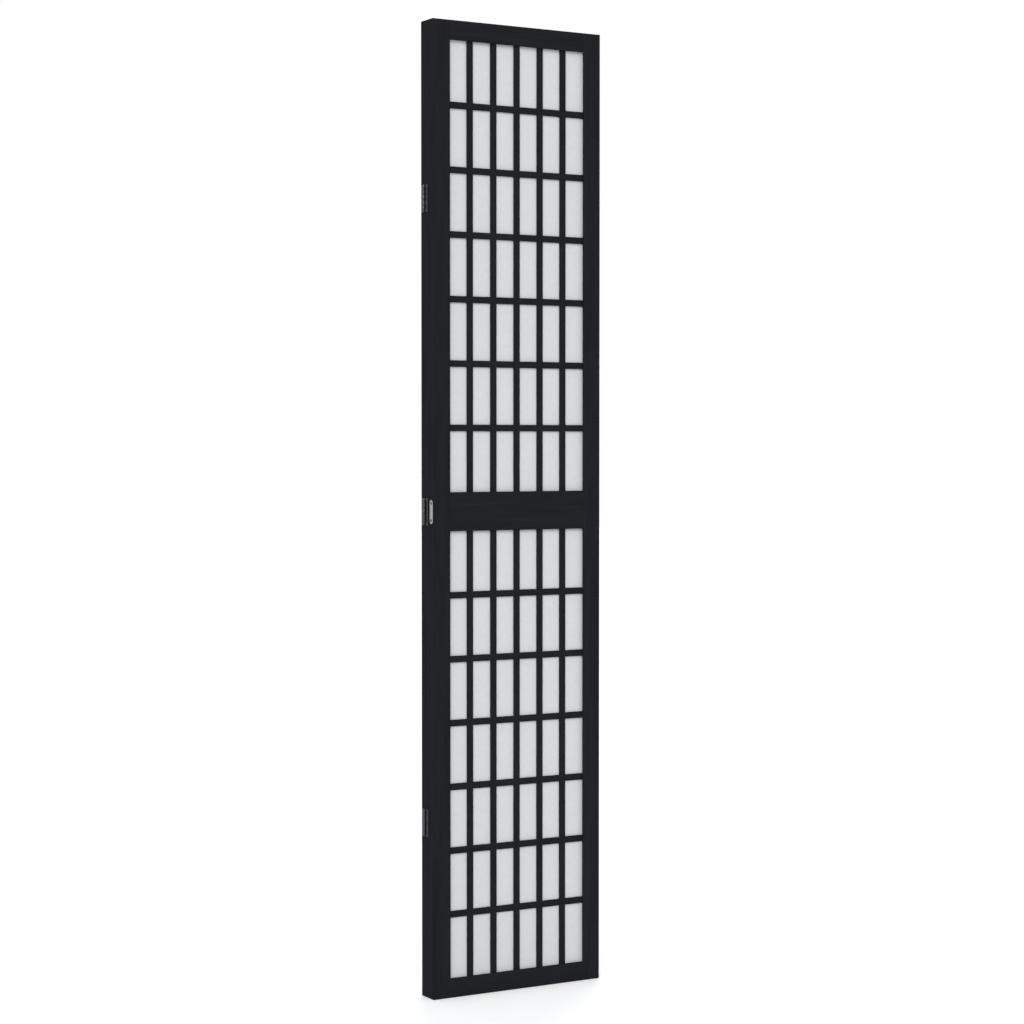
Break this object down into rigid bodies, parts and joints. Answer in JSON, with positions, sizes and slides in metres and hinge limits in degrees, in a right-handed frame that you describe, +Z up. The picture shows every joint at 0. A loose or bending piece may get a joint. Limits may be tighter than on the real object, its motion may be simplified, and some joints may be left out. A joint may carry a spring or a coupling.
{
  "type": "folding screen",
  "caption": "Freestanding folding room screen: hinged black wooden lattice panels backed with translucent white paper, shown folded flat.",
  "frame": {"origin": "on the floor, under the middle of the folded stack of panels", "axes": "+Z up, X across the panels' width, the front panel faces -Y, at rest the screen is folded flat"},
  "size_m": [0.37, 0.0456, 1.8],
  "materials": {
    "frame_wood": "black painted wood, satin, with a faint grain",
    "lattice_wood": "black painted wood bars, satin",
    "shoji_paper": "matt white fibrous screen paper that lets light through",
    "dowel_wood": "bare beech",
    "hinge_steel": "dark plated steel, satin",
    "hinge_pins": "dark plated steel, smooth",
    "dark_screws": "black plated steel, cross recess heads",
    "bright_plate": "zinc plated steel"
  },
  "bodies": {
    "centre_panel": {"centre_upper_left_stile": "frame_wood", "centre_upper_right_stile": "frame_wood", "centre_lower_left_stile": "frame_wood", "centre_lower_right_stile": "frame_wood", "centre_top_rail": "frame_wood", "centre_upper_middle_rail": "frame_wood", "centre_lower_middle_rail": "frame_wood", "centre_bottom_rail": "frame_wood", "centre_upper_face_lattice": "lattice_wood", "centre_upper_back_lattice": "lattice_wood", "centre_lower_face_lattice": "lattice_wood", "centre_lower_back_lattice": "lattice_wood", "centre_upper_paper": "shoji_paper", "centre_lower_paper": "shoji_paper", "centre_dowels": "dowel_wood", "centre_right_hinge_leaves": "hinge_steel", "centre_left_hinge_leaves": "hinge_steel", "right_hinge_pins": "hinge_pins", "left_hinge_pins": "hinge_pins", "centre_right_hinge_screws": "dark_screws", "centre_left_hinge_screws": "dark_screws"},
    "front_panel": {"front_upper_left_stile": "frame_wood", "front_upper_right_stile": "frame_wood", "front_lower_left_stile": "frame_wood", "front_lower_right_stile": "frame_wood", "front_top_rail": "frame_wood", "front_upper_middle_rail": "frame_wood", "front_lower_middle_rail": "frame_wood", "front_bottom_rail": "frame_wood", "front_upper_face_lattice": "lattice_wood", "front_upper_back_lattice": "lattice_wood", "front_lower_face_lattice": "lattice_wood", "front_lower_back_lattice": "lattice_wood", "front_upper_paper": "shoji_paper", "front_lower_paper": "shoji_paper", "front_dowels": "dowel_wood", "front_hinge_leaves": "hinge_steel", "front_hinge_screws": "dark_screws", "front_joining_plate": "bright_plate", "front_plate_screws": "dark_screws"},
    "rear_panel": {"rear_upper_left_stile": "frame_wood", "rear_upper_right_stile": "frame_wood", "rear_lower_left_stile": "frame_wood", "rear_lower_right_stile": "frame_wood", "rear_top_rail": "frame_wood", "rear_upper_middle_rail": "frame_wood", "rear_lower_middle_rail": "frame_wood", "rear_bottom_rail": "frame_wood", "rear_upper_face_lattice": "lattice_wood", "rear_upper_back_lattice": "lattice_wood", "rear_lower_face_lattice": "lattice_wood", "rear_lower_back_lattice": "lattice_wood", "rear_upper_paper": "shoji_paper", "rear_lower_paper": "shoji_paper", "rear_dowels": "dowel_wood", "rear_hinge_leaves": "hinge_steel", "rear_hinge_screws": "dark_screws", "rear_joining_plate": "bright_plate", "rear_plate_screws": "dark_screws"}
  },
  "joints": [
    {"name": "front_fold", "type": "hinge", "parent": "centre_panel", "child": "front_panel", "pos_m": [0.1826, -0.00765, 0.9], "axis": [0, 0, 1], "range_deg": [0, 180]},
    {"name": "rear_fold", "type": "hinge", "parent": "centre_panel", "child": "rear_panel", "pos_m": [-0.1826, 0.00765, 0.9], "axis": [0, 0, 1], "range_deg": [0, 180]}
  ]
}
